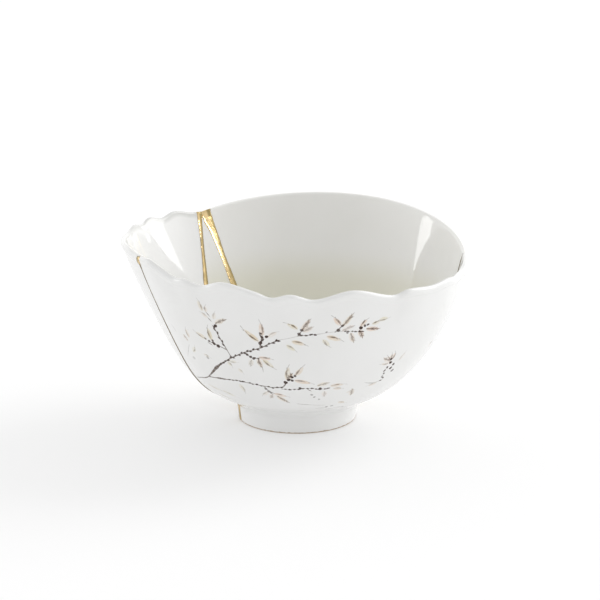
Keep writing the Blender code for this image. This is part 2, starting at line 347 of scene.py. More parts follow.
seamPlan = {
    # points of (x, y, width) in mm, from beyond the rim inwards
    "main": [
        (-104, -57.5, 4.4), (-85.6, -47.4, 3.9), (-84.2, -46.8, 2), (-82.8, -46.1, 0.8),
        (-78, -43.8, 0.7), (-70.5, -39.8, 0.8), (-62.5, -34.5, 1), (-56, -28, 1.1),
        (-44, -17.5, 1.5), (-31, -9.5, 3.1), (-18, -5, 2.8), (3, 7, 2.8), (27, 17, 2.8),
        (45, 13, 2.4), (62, 5, 1.8), (76, -1.5, 1.3), (84, -2.4, 0.8), (88.2, 0.2, 0.7),
        (90.8, 2.8, 0.8), (92.4, 3.9, 1.4), (94.2, 4.7, 3.4), (104, 8, 4.4),
    ],
    "leftArm": [
        (-59.8, 88, 6), (-57.4, 77.3, 4.2), (-56.3, 72.2, 3), (-55.4, 69.3, 2.3), (-54.6, 66.1, 2),
        (-53.5, 61.4, 2.1), (-52.7, 57.6, 2.5), (-52, 54, 2.9), (-48.5, 44, 3), (-41, 27, 2.8),
        (-30, 10, 2.8), (-18, -5, 2.8),
    ],
    "rightArm": [
        (-57.5, 88, 8), (-52.6, 76.2, 6.4), (-49.9, 74.4, 4.6), (-48, 73.3, 3.9), (-45.8, 72, 3.6),
        (-42.4, 69.5, 2.8), (-40.4, 68, 2.9), (-37.5, 65.7, 3.3), (-29, 58, 3), (-18, 44, 2.8),
        (-6, 26, 2.8), (3, 7, 2.8),
    ],
    "seeds": {"main": 3, "leftArm": 11, "rightArm": 19},
    "step": 1.2 * mm,  # spacing of the points along a smoothed seam
    "low": -20 * mm,
    "high": 130 * mm,
    "goldOverlap": 0.14 * mm,  # the gold laps over the glaze by this much, and less where it is thin
    "lapFrom": 0.8 * mm,  # the lap grows from this width on, over lapSpan
    "lapSpan": 1.4 * mm,
    "lapLeast": 0.15,
    "goldWobble": 0.12 * mm,
    "wobbleSize": 7 * mm,
    "goldSteps": (1.4 * mm, 2.4 * mm),  # its rows outside and inside
    "goldColumns": 360,
    "goldProud": 0.40 * mm,
    "goldProudLip": 0.05 * mm,
    "proudFades": (3 * mm, 0.5 * mm),  # below the lip's top
    "goldLow": 0.3 * mm,  # its lowest height
    "goldVoxel": 0.30 * mm,
    "goldSmoothing": 14,
    "goldKept": 0.5,  # share of the fine mesh that stays
    "goldRipple": 0.03 * mm,
    "rippleSizes": ((4.5 * mm, 1), (1.8 * mm, 0.4)),  # with their shares
    "wornHalves": (0.75 * mm, 1.35 * mm),  # a seam this thin is worn
    "sharpAngle": 180,
}
seamNames = tuple(seamPlan["seeds"])


def pathLengths(points):
    # how far along a path each of its points lies from the first one
    return np.concatenate(([0], np.cumsum(np.linalg.norm(np.diff(points, axis=0), axis=1))))


def smoothPath(points, step, axes=2):
    # a smooth curve through the points, read at an even spacing along its first few axes
    points = np.array(points, float)
    ends = np.concatenate((2 * points[:1] - points[1:2], points, 2 * points[-1:] - points[-2:-1]))
    samples = 24  # between two points
    curve = []
    for index in range(len(points) - 1):
        a, b, c, d = ends[index:index + 4]
        for t in np.linspace(0, 1, samples, endpoint=False):
            curve.append(0.5 * (2 * b + (c - a) * t + (2 * a - 5 * b + 4 * c - d) * t ** 2
                                + (3 * b - a - 3 * c + d) * t ** 3))
    curve = np.array(curve + [points[-1]])
    along = pathLengths(curve[:, :axes])
    count = max(2, round(along[-1] / step))
    places = np.linspace(0, along[-1], count + 1)
    return np.stack([np.interp(places, along, column) for column in curve.T], 1)


def ribbon(seam, margin, wobble):
    # a seam's plan with its own width, extruded upright through the bowl
    plan = seamPlan
    points = smoothPath(np.array(plan[seam]) * mm, plan["step"])
    along = np.gradient(points[:, :2], axis=0)
    along /= np.linalg.norm(along, axis=1)[:, None]
    across = np.stack((-along[:, 1], along[:, 0]), 1)
    lap = np.clip((points[:, 2] - plan["lapFrom"]) / plan["lapSpan"], plan["lapLeast"], 1)
    sides = []
    for side in (1, -1):
        layer = plan["seeds"][seam] + side
        shake = [noise.noise((x / plan["wobbleSize"], y / plan["wobbleSize"], layer))
                 for x, y, _ in points]
        half = points[:, 2] / 2 + lap * (margin + wobble * np.array(shake))
        sides.append(points[:, :2] + across * (side * half)[:, None])
    bm = bmesh.new()
    outline = np.concatenate((sides[0], sides[1][::-1]))
    face = bm.faces.new([bm.verts.new((x, y, plan["low"])) for x, y in outline])
    risen = bmesh.ops.extrude_face_region(bm, geom=[face])["geom"]
    bmesh.ops.translate(bm, vec=(0, 0, plan["high"] - plan["low"]),
                        verts=[part for part in risen if isinstance(part, bmesh.types.BMVert)])
    bmesh.ops.recalc_face_normals(bm, faces=bm.faces)
    return newObject(seam, bm)


def seamNetwork(margin, wobble):
    network, *arms = [ribbon(seam, margin, wobble) for seam in seamNames]
    for arm in arms:
        cut(network, "UNION", arm)
    return network


# The twig print's design

printDesign = {
    "seed": 7,
    "reach": 1.6 * mm,  # how far from a stroke the surface knows of it
    "step": 0.8 * mm,  # between the points of a stem
    "leafStep": 0.6 * mm,
    "stemHalf": 0.40 * mm,
    "veinHalf": 0.38 * mm,
    "leafHalf": 1.40 * mm,
    "budRadius": 0.80 * mm,
    "knobSize": 0.58 * mm,
    "knobSpacing": (1.9 * mm, 2.7 * mm),
    # stems, as points of (azimuth, climb up the wall in mm), with their thickness and strength
    "stems": [
        ([(-60, 25.5), (-55, 27.5), (-50, 29.5), (-46.7, 31.8), (-42, 37), (-37.7, 42.5), (-34, 46.5),
          (-31.6, 48.8), (-28.2, 52.3), (-21.5, 57.7), (-15.5, 61.5), (-11.5, 65), (-8, 67.8)], 1.1, 1.0),
        ([(-8, 67.8), (-4.8, 69), (-0.5, 70.8), (4.7, 71.6), (12.9, 73), (22, 71.6)], 0.75, 0.75),
        ([(-46.7, 31.8), (-40, 33.0), (-35.5, 33.6), (-29, 34.4), (-23, 33.7), (-16.7, 32.6),
          (-12, 31.9), (-8, 33.2), (-6.5, 37)], 1.0, 0.95),
        ([(-8.5, 31), (-2.7, 31), (3, 32), (8.5, 31), (12.6, 31.3)], 0.8, 0.7),
        ([(-28.6, 52.8), (-29.8, 59), (-31, 65), (-31.6, 69), (-32.4, 73)], 0.95, 0.95),
        ([(-29.8, 57.5), (-33, 59.5), (-36.9, 61.2)], 0.8, 0.8),
        ([(-15.4, 62.5), (-14.5, 66.5), (-13.9, 70)], 0.9, 0.9),
        ([(-1.2, 70.8), (0.2, 74.2)], 0.8, 0.8),
        ([(11.8, 72.8), (14.2, 76.4)], 0.8, 0.85),
        ([(-21.5, 56.2), (-19, 53.8), (-16.6, 54.3)], 0.8, 0.8),
        ([(-16.8, 32.2), (-14.5, 28.5), (-12.3, 26.4)], 0.7, 0.6),
        ([(37.6, 42.5), (37.4, 38.5), (38.0, 35), (39.2, 32.2), (36.5, 31)], 0.75, 0.7),
        ([(38.6, 31.8), (35.4, 31.0), (30.5, 32.0)], 0.6, 0.5),
    ],
    # the brush's pressure along a stem, as (share of its length, thickness, strength)
    "pressure": {
        0: [(0, 0.8, 0.9), (0.2, 0.8, 1), (0.29, 1, 1), (0.33, 1.8, 1), (0.4, 1.9, 1),
            (0.44, 1.2, 1), (0.57, 0.8, 0.95), (1, 0.8, 0.9)],
        1: [(0, 0.8, 0.6), (0.04, 0.7, 0.4), (0.22, 0.7, 0.45), (0.27, 0.8, 0.9), (0.44, 0.7, 0.8),
            (0.49, 0.7, 0.4), (0.72, 0.7, 0.5), (0.77, 0.6, 0.4), (1, 0.6, 0.35)],
        2: [(0, 0.9, 1), (0.13, 0.8, 1), (0.16, 1.8, 1), (0.24, 1.7, 1), (0.28, 0.7, 0.95),
            (0.52, 0.65, 0.85), (0.9, 0.8, 1), (1, 1, 1)],
        3: [(0, 0.9, 1), (0.1, 0.8, 0.55), (1, 0.8, 0.55)],
        4: [(0, 0.8, 1), (1, 0.7, 0.9)],
        11: [(0, 0.8, 0.55), (1, 0.8, 0.45)],
    },
    "evenPressure": [(0, 1, 1), (1, 1, 1)],  # of the other stems
    # knobbly stretches: stem index, first and last share of its length, and the knobs' offset in mm
    "knobs": [
        (0, 0.46, 0.56, 0.2), (0, 0.58, 0.83, 0.4), (0, 0.86, 1, 0.35), (1, 0.26, 0.46, 0.15),
        (1, 0.76, 1, 0.05), (2, 0.3, 0.5, 0.1), (2, 0.54, 0.71, 0.3), (2, 0.74, 0.92, 0.3),
        (3, 0.05, 1, 0.12), (4, 0.35, 0.95, 0.25), (6, 0.2, 1, 0.4), (9, 0, 1, 0.3),
        (11, 0, 0.9, 0.2),
    ],
    # leaves, as (azimuth, climb in mm, direction in degrees, length in mm, olive share, strength)
    "leaves": [
        (-15.8, 66.3, 137, 12, 0.6, 0.95), (-13.8, 70.8, 83, 9.5, 0.1, 0.75),
        (-11.6, 69.8, 38, 7, 0.3, 0.4), (-1.4, 75.6, 141, 7.5, 0.8, 0.9),
        (13.6, 77.3, 130, 7.8, 0.1, 0.85), (20.9, 75.3, 54, 6.2, 0.2, 0.95),
        (25.4, 76, 2, 5.5, 0.9, 0.75), (28, 77.6, 6, 6.5, 1, 0.65), (9.2, 69.9, -20, 9.5, 0.4, 0.85),
        (7.6, 67.6, -52, 6.5, 1, 0.6), (-3.2, 67, -15, 8.6, 0.5, 0.8), (-5.3, 64.2, -42, 6.4, 1, 0.6),
        (-16.4, 54.6, -5, 7.5, 0.1, 0.85), (-15, 52.8, -42, 8.8, 0.8, 0.75),
        (-30.5, 49.3, 2, 6.4, 1, 0.35), (-30.6, 48.4, -70, 4.4, 1, 0.45),
        (-26.5, 44.3, -64, 4.4, 0.7, 0.3), (-42, 50.3, -20, 4.5, 0.5, 0.4),
        (-34.8, 82, 101, 7.2, 0.6, 0.5), (-33.4, 81.6, 80, 4.6, 0.4, 0.6),
        (-33.4, 78, 152, 5, 0.4, 0.4), (-31, 77.8, 56, 5.6, 0.6, 0.35),
        (-37.8, 62.6, 156, 8.6, 0.7, 0.6), (-35.2, 62.8, 92, 9.6, 0.9, 0.8),
        (-47.4, 60.4, 84, 6.6, 0.3, 0.5), (-48.5, 50, 50, 6, 1, 0.5), (-6.2, 39.8, 88, 11, 0.7, 0.7),
        (-2.6, 43, 52, 9, 0.4, 0.8), (-2.6, 38.6, -14, 10.5, 0.2, 0.85),
        (-12, 26.4, -22, 8.4, 0.1, 0.7), (-15.2, 27.4, -140, 6, 0.4, 0.4),
        (13.4, 33.4, 6, 8.6, 0.3, 0.75), (15, 30.8, -4, 5.6, 0.3, 0.55),
        (21.6, 15.6, -30, 6, 0.4, 0.6), (37.6, 46.6, 128, 6.6, 0.1, 0.7),
        (38.4, 48.2, 84, 5.6, 0.2, 0.7), (37, 45.4, 172, 5.6, 0.2, 0.5),
        (37.4, 49, 108, 4.4, 0.2, 0.6), (-52, 22.5, -12, 12, 0.9, 0.35), (-42, 20.6, -24, 10, 1, 0.4),
        (-28.5, 31.4, -76, 8.6, 1, 0.35), (-49, 14.5, -30, 10, 0.9, 0.3),
        (22.6, 25.6, 20, 5, 0.3, 0.3), (62.6, 47.6, 58, 5, 0.4, 0.3), (36.4, 30.2, -160, 6, 0.3, 0.4),
        (43, 46, 60, 6.4, 0.5, 0.25),
    ],
    # feathery tufts of short strokes, as (azimuth, climb in mm, direction, length in mm, strength)
    "tufts": [
        (0.5, 75, 60, 8, 0.9), (1, 74, 22, 5.6, 0.55), (14.6, 76.8, 54, 9.2, 0.9),
        (14.6, 73.6, 30, 6.4, 0.5), (23.4, 73, -12, 7.4, 0.95), (20.6, 72.2, -62, 5.4, 0.85),
        (17.4, 70.8, -76, 6.4, 0.75), (-17, 53, -88, 5.6, 0.85), (-20, 52.2, -104, 5, 0.4),
        (-30.6, 74.8, 36, 8.2, 0.75), (-10.8, 24, -56, 9, 0.75), (-13.2, 25.6, -104, 4.4, 0.5),
        (7.4, 34.2, 28, 6, 0.6), (25.6, 22.6, 96, 6.4, 0.65), (36.9, 47.6, 150, 5.2, 0.7),
        (-6, 39.4, 68, 5.6, 0.9), (-49.2, 57.6, 120, 3.6, 0.45), (11, 28.2, -80, 4.6, 0.35),
    ],
    # lone dashes of the brush, as (azimuth, climb in mm, direction, length in mm, strength)
    "dashes": [
        (-33.4, 81.2, -56, 3.2, 0.85), (-33.2, 77.4, -52, 2.4, 0.9), (-37.4, 60.2, -30, 3, 0.7),
        (-55, 61, 112, 4.5, 0.3), (-49.6, 54, -128, 13, 0.3), (-1, 16.2, -12, 9.5, 0.6),
        (10, 8.6, 4, 6, 0.6), (3, 31, -36, 2.6, 0.8), (-50, 11.5, -60, 8, 0.3),
        (34.2, 30.6, 160, 6, 0.5), (-16, 48.6, -88, 4.6, 0.45), (17, 5.6, 0, 4, 0.6),
        (22, 7.2, 8, 5, 0.5), (8, 14, -8, 7, 0.45),
    ],
    # buds and berries, as (azimuth, climb in mm, share of budRadius, strength)
    "buds": [
        (-14.9, 65.2, 1.2, 1), (-14.2, 71.4, 0.9, 0.9), (-14, 69, 1, 0.95), (-12.4, 69.5, 1.1, 1),
        (-0.7, 71.9, 1.1, 0.9), (0.3, 74.5, 1, 0.85), (12.9, 73.7, 1.2, 0.9), (14.2, 76.5, 1, 0.9),
        (21, 74, 1.3, 1), (22.4, 75.1, 0.9, 0.9), (23.4, 75.7, 0.8, 0.9), (8.6, 72.9, 0.5, 0.7),
        (16.2, 71.6, 0.7, 0.7), (-21.3, 55.8, 0.9, 0.9), (-20, 54.5, 0.9, 0.9),
        (-19, 53.4, 0.9, 0.85), (-31.2, 72.9, 1.3, 1), (-33, 58.9, 1.4, 1), (-34.6, 60.2, 1.3, 1),
        (-34.8, 62, 0.9, 0.9), (-36.7, 61.2, 0.9, 0.8), (-38, 62.4, 0.8, 0.7), (-6.8, 36.8, 1.4, 1),
        (-5.6, 39, 1.2, 1), (-4.1, 41.2, 1.1, 1), (-2.9, 42.1, 0.9, 0.9), (-4, 38.5, 1, 0.95),
        (-16, 30.2, 1, 0.7), (-14.8, 28.1, 1, 0.7), (-13.8, 26.9, 0.9, 0.7), (5.4, 25.8, 0.9, 0.5),
        (6.7, 23.4, 0.8, 0.5), (9.6, 20.8, 0.8, 0.4), (8.5, 31.2, 1.3, 0.95), (-0.4, 32, 1.1, 0.95),
        (37.8, 48.2, 1.1, 1), (38.4, 45.6, 1.2, 1), (40.6, 43.5, 1, 0.95), (40, 40.9, 1.1, 1),
        (42, 38.4, 1.2, 0.7), (-50.6, 44.4, 1.4, 0.25), (-40.9, 48.2, 1.2, 0.4),
        (63.6, 49.6, 0.8, 0.3), (16, 10, 1, 0.6), (18.8, 10.9, 1, 0.5), (28, 6, 1, 0.4),
    ],
}


def climbTable():
    heights = np.linspace(bowlShape["wallLow"], bowlShape["wallTop"], fineSteps)
    return wallLengths(heights), heights


wallClimbs, wallHeights = climbTable()


def onWall(azimuth, climb):
    # a point of the outer wall, from its azimuth and the climb along the wall from wallLow
    azimuth, climb = np.atleast_1d(azimuth), np.atleast_1d(climb)
    z = np.interp(climb, wallClimbs, wallHeights)
    radius = wallRadius(z) + flute(azimuth, z)
    turn = np.radians(azimuth)
    return np.stack((radius * np.sin(turn) + lean(z), -radius * np.cos(turn), z), 1)


def stepOnWall(azimuth, climb, direction, length):
    # azimuth and climb at a distance in a direction, where 0 is to the right and 90 is up
    z = np.interp(climb, wallClimbs, wallHeights)
    across, up = length * np.cos(np.radians(direction)), length * np.sin(np.radians(direction))
    return azimuth + np.degrees(across / wallRadius(z)), climb + up


def smoothTrail(points, step):
    # a smooth curve through points of the wall
    azimuths, climbs = np.array(points).T
    return smoothPath(onWall(azimuths, climbs * mm), step, 3)


def bentTrail(azimuth, climb, direction, length, bend):
    # a short curve along the wall that turns by bend degrees as it goes
    spots = [(azimuth, climb)]
    shares = (0.25, 0.5, 0.75, 1)
    for share in shares:
        reach = length * mm / len(shares)
        azimuth, climb = stepOnWall(azimuth, climb * mm, direction + bend * share, reach)
        climb /= mm
        spots.append((azimuth, climb))
    return smoothTrail(spots, printDesign["leafStep"])


def paintSpots():
    # points of the wall along every stroke of the design
    spots = []
    samples = 10  # along each leaf, tuft or dash
    for points, *_ in printDesign["stems"]:
        spots.extend(smoothTrail(points, printDesign["step"]))
    for kind in ("leaves", "tufts", "dashes"):
        for azimuth, climb, direction, length, *_ in printDesign[kind]:
            for share in np.linspace(0, 1, samples):
                place = stepOnWall(azimuth, climb * mm, direction, share * length * mm)
                spots.append(onWall(*place)[0])
    spots.extend(onWall(azimuth, climb * mm)[0] for azimuth, climb, *_ in printDesign["buds"])
    return spots


# Porcelain shards

printArea = {
    "azimuths": (-63, 70),
    "heights": (14 * mm, 96 * mm),
    "fineWithin": (2.6 * mm, 1.45 * mm),  # the mesh's steps are halved this near to the paint, twice
    "outerWithin": 0.5 * mm,  # of the wall's curve, before the rim's waves
    "paintWithin": 2 * mm,  # and with them
    "paintMargin": 3,  # degrees past the azimuths that paint may still reach
    "paintLow": 12 * mm,
}


def searchTree(points, indices):
    tree = kdtree.KDTree(len(indices))
    for index in indices:
        tree.insert(points[index], int(index))
    tree.balance()
    return tree


def refineNear(bm, spots, reach):
    # halve the outer wall's steps near the spots
    low, high = printArea["heights"]
    left, right = printArea["azimuths"]
    points = np.array([vert.co[:] for vert in bm.verts])
    x, y, z = points.T
    azimuth = azimuthOf(x, y)
    chosen = (z > low) & (z < high) & (azimuth > left) & (azimuth < right)
    chosen &= np.hypot(x, y) > wallRadius(z) - printArea["outerWithin"]
    shaped = shapeWall(points)
    near = {vert for vert, isChosen, point in zip(bm.verts, chosen, shaped)
            if isChosen and spots.find(point)[2] < reach}
    fine = [edge for edge in bm.edges if edge.verts[0] in near and edge.verts[1] in near]
    bmesh.ops.subdivide_edges(bm, edges=fine, cuts=1, use_grid_fill=True)


def turnBowl():
    shape = bowlShape
    bm = turnProfile(bowlProfile(shape["outerStep"], shape["innerStep"]), shape["columns"])
    painted = paintSpots()
    spots = searchTree(painted, range(len(painted)))
    for reach in printArea["fineWithin"]:
        refineNear(bm, spots, reach)
    bowl = newObject("bowl", bm)
    points = pointsOf(bowl.data)
    z = points[:, 2]
    radius = np.hypot(points[:, 0], points[:, 1])
    true = wallRadius(z)
    isOnWall = (np.abs(radius - true) < shape["onWallWithin"]) & (z > shape["wallLow"])
    isOnWall &= z < shape["lipRowsLow"]
    share = np.where(isOnWall, true / np.maximum(radius, nearAxis), 1)
    points[:, :2] *= share[:, None]
    movePoints(bowl.data, shapeWall(points))
    return bowl


def splitShards(bowl):
    # the cut bowl falls into four pieces, told apart by where they lie
    bpy.ops.object.select_all(action="DESELECT")
    bowl.select_set(True)
    bpy.context.view_layer.objects.active = bowl
    bpy.ops.mesh.separate(type="LOOSE")
    parts = [(pointsOf(item.data), item) for item in bpy.context.selected_objects]
    found = {
        "frontShard": min(parts, key=lambda part: part[0][:, 1].mean())[1],
        "leftShard": min(parts, key=lambda part: part[0][:, 0].mean())[1],
        "wedgeShard": min(parts, key=lambda part: len(part[0]))[1],
    }
    found["backShard"] = next(item for _, item in parts if item not in found.values())
    return found


def storeValues(item, name, values):
    layer = item.data.attributes.new(name, "FLOAT", "POINT")
    layer.data.foreach_set("value", values.astype(np.float32))


def finishShape(item, name, angle):
    item.name = name
    item.data.name = name
    item.data.shade_smooth()
    item.data.set_sharp_from_angle(angle=math.radians(angle))


bowl = turnBowl()
print("turned and scalloped the bowl:", len(bowl.data.polygons), "faces")
cut(bowl, "DIFFERENCE", seamNetwork(0, 0))
shards = splitShards(bowl)
for name, shard in shards.items():
    finishShape(shard, name, bowlShape["sharpAngle"])
print("broke it into", len(shards), "shards")


# The gold

def swellProfile(profile):
    # the profile pushed outwards along its normals, less at the lip, and kept off the ground
    steps = np.gradient(profile, axis=0)
    steps /= np.linalg.norm(steps, axis=1)[:, None]
    outwards = np.stack((-steps[:, 1], steps[:, 0]), 1)
    outwards[[0, -1], 0] = 0
    first, last = seamPlan["proudFades"]
    lipShare = smoothStep(lipTop - first, lipTop - last, profile[:, 1])
    amount = seamPlan["goldProud"] + (seamPlan["goldProudLip"] - seamPlan["goldProud"]) * lipShare
    swollen = profile + outwards * amount[:, None]
    swollen[:, 1] = np.maximum(swollen[:, 1], seamPlan["goldLow"])
    return swollen


def seamMeasure(points):
    # signed share of the nearest seam's half width from its middle line, and that half width
    share = np.full(len(points), farAway)
    side = np.zeros(len(points))
    halfWidth = np.zeros(len(points))
    for name in seamNames:
        path = smoothPath(np.array(seamPlan[name]) * mm, 2 * seamPlan["step"])
        for start, end in zip(path, path[1:]):
            along = (end - start)[:2]
            t = np.clip((points[:, :2] - start[:2]) @ along / (along @ along), 0, 1)
            offset = points[:, :2] - start[:2] - t[:, None] * along
            gap = np.linalg.norm(offset, axis=1)
            half = (start[2] + (end[2] - start[2]) * t) / 2 + seamPlan["goldOverlap"]
            closer = gap / half < share
            share[closer] = (gap / half)[closer]
            side[closer] = np.sign(along[0] * offset[:, 1] - along[1] * offset[:, 0])[closer]
            halfWidth[closer] = half[closer]
    return side * share, halfWidth


def makeGold():
    plan = seamPlan
    profile = swellProfile(bowlProfile(*plan["goldSteps"]))
    gold = newObject("goldSeams", turnProfile(profile, plan["goldColumns"]))
    movePoints(gold.data, shapeWall(pointsOf(gold.data)))
    cut(gold, "INTERSECT", seamNetwork(plan["goldOverlap"], plan["goldWobble"]))
    voxels = gold.modifiers.new("voxels", "REMESH")
    voxels.mode = "VOXEL"
    voxels.voxel_size = plan["goldVoxel"]
    applyModifiers(gold)
    bm = bmesh.new()
    bm.from_mesh(gold.data)
    for _ in range(plan["goldSmoothing"]):
        bmesh.ops.smooth_vert(bm, verts=bm.verts, factor=0.5,
                              use_axis_x=True, use_axis_y=True, use_axis_z=True)
    bm.normal_update()
    for vert in bm.verts:
        ripple = sum(share * noise.noise(vert.co / size) for size, share in plan["rippleSizes"])
        vert.co += vert.normal * ripple * plan["goldRipple"]
    bm.to_mesh(gold.data)
    bm.free()
    thinner = gold.modifiers.new("thinner", "DECIMATE")
    thinner.ratio = plan["goldKept"]
    applyModifiers(gold)
    side, half = seamMeasure(pointsOf(gold.data))
    storeValues(gold, "seamSide", side)
    storeValues(gold, "seamWear", 1 - smoothStep(*plan["wornHalves"], half))
    finishShape(gold, "goldSeams", plan["sharpAngle"])
    return gold


gold = makeGold()
print("laid the gold:", len(gold.data.polygons), "faces")


# Painting the print on the front shard's outer face

brush = {
    "stemShake": (3 * mm, 0.3),  # a stem's width varies over this length by this share
    "stemTip": 0.5,
    "knobAhead": (0.7, 1.2),  # mm
    "knobAside": (1.2, 2.4),  # shares of the knob's offset
    "knobSwell": (0.8, 1.15),
    "knobTip": 0.6,
    "knobStrength": (0.85, 1),
    "barbFrom": 0.15,  # share of the vein before its barbs, and the share that they fill
    "barbFill": 0.7,
    "barbShift": (0, 0.5),
    "barbVary": (0.7, 1.2),
    "barbStrength": (0.7, 1),
    "barbHalves": (0.4, 0.9, 0.2),  # shares of veinHalf at its start, middle and tip
    "washFrom": 0.08,
    "washPower": 0.8,
    "washLeast": 0.02 * mm,
    "leafBend": 14,  # degrees to either side
    "leafBody": 0.85,  # share of the leaf that its wash fills
    "leafSwell": (0.6, 18, 1.15),  # least share of leafHalf, the mm that add a whole one, and most
    "veinAside": 0.45,
    "veinSides": (-1, 1, 1, 1),
    "pressPlace": (0.25, 0.5),
    "pressSpan": 0.2,
    "pressLeast": (0.45, 0.6),  # the vein's width and strength away from the pressed place
    "leafBarbs": (2.4, 1, 1.5 * mm, 24, 0.8),  # mm apart, least count, reach, slant and strength
    "tuftBend": 18,
    "tuftSwell": 1.15,
    "tuftWash": 0.8,
    "tuftTints": (0, 0.6),
    "tuftHalves": (1.1, 0.5),
    "tuftVein": 0.9,
    "tuftBarbs": (1.1, 3, 1.9 * mm, 34, 1),
    "dashHalves": (0.16 * mm, 0.3 * mm, 0.08 * mm),
    "budSlants": (20, 160),
    "budReach": 0.5 * mm,
    "budTip": 0.8,
}


def newLayer(count):
    far = np.full(count, farAway)
    return {"reach": far.copy(), "side": far.copy(), "half": np.zeros(count),
            "strength": np.zeros(count), "tint": np.zeros(count)}


def paintStroke(layer, wall, path, halves, strengths, tint=0.0):
    # each point of the wall near the stroke keeps its distance from it, in mm, to either side
    tree, points = wall
    strengths = np.broadcast_to(strengths, len(path))
    for start, end, halfStart, halfEnd, strong, weak in zip(path, path[1:], halves, halves[1:],
                                                            strengths, strengths[1:]):
        middle = (start + end) / 2
        along = end - start
        length = np.linalg.norm(along)
        near = [index for _, index, _ in tree.find_range(middle, length / 2 + printDesign["reach"])]
        if not near or length == 0:
            continue
        offset = points[near] - start
        t = np.clip(offset @ along / length ** 2, 0, 1)
        gap = offset - t[:, None] * along
        distance = np.linalg.norm(gap, axis=1) / mm
        outwards = np.array((middle[0], middle[1], 0))
        side = np.sign(np.cross(along, gap) @ outwards)
        half = (halfStart + (halfEnd - halfStart) * t) / mm
        closer = distance - half < layer["reach"][near]
        kept = np.array(near)[closer]
        layer["reach"][kept] = (distance - half)[closer]
        layer["side"][kept] = (side * distance)[closer]
        layer["half"][kept] = half[closer]
        layer["strength"][kept] = (strong + (weak - strong) * t)[closer]
        layer["tint"][kept] = tint


def openWall(front):
    # the outer wall's points that may carry paint, ready to be searched
    points = pointsOf(front.data)
    x, y, z = points.T
    azimuth = azimuthOf(x, y)
    low, high = printArea["azimuths"]
    margin = printArea["paintMargin"]
    chosen = np.hypot(x - lean(z), y) > wallRadius(z) - printArea["paintWithin"]
    chosen &= (azimuth > low - margin) & (azimuth < high + margin) & (z > printArea["paintLow"])
    return searchTree(points, np.flatnonzero(chosen)), points


def drawStem(inks, wall, index):
    points, thickness, strength = printDesign["stems"][index]
    trail = smoothTrail(points, printDesign["step"])
    pressure = printDesign["pressure"].get(index, printDesign["evenPressure"])
    shares, swells, strengths = np.array(pressure).T
    places = np.linspace(0, 1, len(trail))
    size, amount = brush["stemShake"]
    shake = np.array([1 + amount * noise.noise(Vector(point) / size) for point in trail])
    halves = printDesign["stemHalf"] * thickness * np.interp(places, shares, swells) * shake
    halves[-1] *= brush["stemTip"]
    paintStroke(inks["stem"], wall, trail, halves, strength * np.interp(places, shares, strengths))
    return trail


def directionsAt(trail, index, side):
    # along the trail, and over the wall to one side of it
    spot = trail[index]
    ahead = (trail[index + 1] - spot) / np.linalg.norm(trail[index + 1] - spot)
    across = np.cross((spot[0], spot[1], 0), ahead)
    return ahead, across * (side / np.linalg.norm(across))


def drawKnobs(inks, wall, trail, first, last, offset, rng):
    # small scales that stand out from the stem on alternate sides
    along = pathLengths(trail)
    place = first * along[-1]
    side = 1
    while place < last * along[-1]:
        index = min(int(np.searchsorted(along, place)), len(trail) - 2)
        ahead, across = directionsAt(trail, index, side)
        spot = trail[index] + across * offset * mm
        forward = ahead * rng.uniform(*brush["knobAhead"])
        tip = spot + (forward + across * offset * rng.uniform(*brush["knobAside"])) * mm
        size = printDesign["knobSize"] * rng.uniform(*brush["knobSwell"])
        strength = rng.uniform(*brush["knobStrength"])
        paintStroke(inks["bud"], wall, [spot, tip], [size, size * brush["knobTip"]], strength)
        place += rng.uniform(*printDesign["knobSpacing"])
        side = -side


def drawBarbs(inks, wall, vein, length, barbs, strength, rng):
    # short strokes that leave the vein at a slant, on alternate sides
    spacing, least, reach, slant, share = barbs
    count = max(least, int(length / spacing))
    halves = [printDesign["veinHalf"] * half for half in brush["barbHalves"]]
    side = rng.choice((-1, 1))
    for k in range(count):
        place = brush["barbFrom"] + brush["barbFill"] * (k + rng.uniform(*brush["barbShift"])) / count
        index = int(place * (len(vein) - 2))
        spot = vein[index]
        ahead, across = directionsAt(vein, index, side)
        turn = math.radians(slant * rng.uniform(*brush["barbVary"]))
        leaning = ahead * math.cos(turn) + across * math.sin(turn)
        tip = spot + leaning * reach * rng.uniform(*brush["barbVary"])
        paintStroke(inks["vein"], wall, [spot, (spot + tip) / 2, tip], halves,
                    strength * share * rng.uniform(*brush["barbStrength"]))
        side = -side


def drawWash(inks, wall, body, width, strength, tint):
    shares = np.linspace(brush["washFrom"], 1, len(body))
    swell = np.sin(np.pi * shares ** brush["washPower"]) ** brush["washPower"]
    paintStroke(inks["wash"], wall, body, width * swell + brush["washLeast"], strength, tint)


def drawLeaf(inks, wall, leaf, rng):
    # a pale wash with a stroke to one side, pressed near the base and thin at the tip
    azimuth, climb, direction, length, tint, strength = leaf
    bend = brush["leafBend"]
    trail = bentTrail(azimuth, climb, direction, length, rng.uniform(-bend, bend))
    body = trail[:max(3, int(len(trail) * brush["leafBody"]))]
    least, growth, most = brush["leafSwell"]
    width = printDesign["leafHalf"] * min(most, least + length / growth)
    drawWash(inks, wall, body, width, strength, tint)
    across = np.cross(trail[0] * (1, 1, 0), trail[-1] - trail[0])
    side = np.sign(across[2]) * rng.choice(brush["veinSides"])
    across *= side * brush["veinAside"] * width / np.linalg.norm(across)
    shares = np.linspace(0, 1, len(trail))
    vein = trail + across * np.sin(np.pi * shares)[:, None]
    press = np.exp(-((shares - rng.uniform(*brush["pressPlace"])) / brush["pressSpan"]) ** 2)
    thin, faint = brush["pressLeast"]
    halves = printDesign["veinHalf"] * (thin + press)
    paintStroke(inks["vein"], wall, vein, halves, strength * (faint + (1 - faint) * press))
    drawBarbs(inks, wall, vein, length, brush["leafBarbs"], strength, rng)


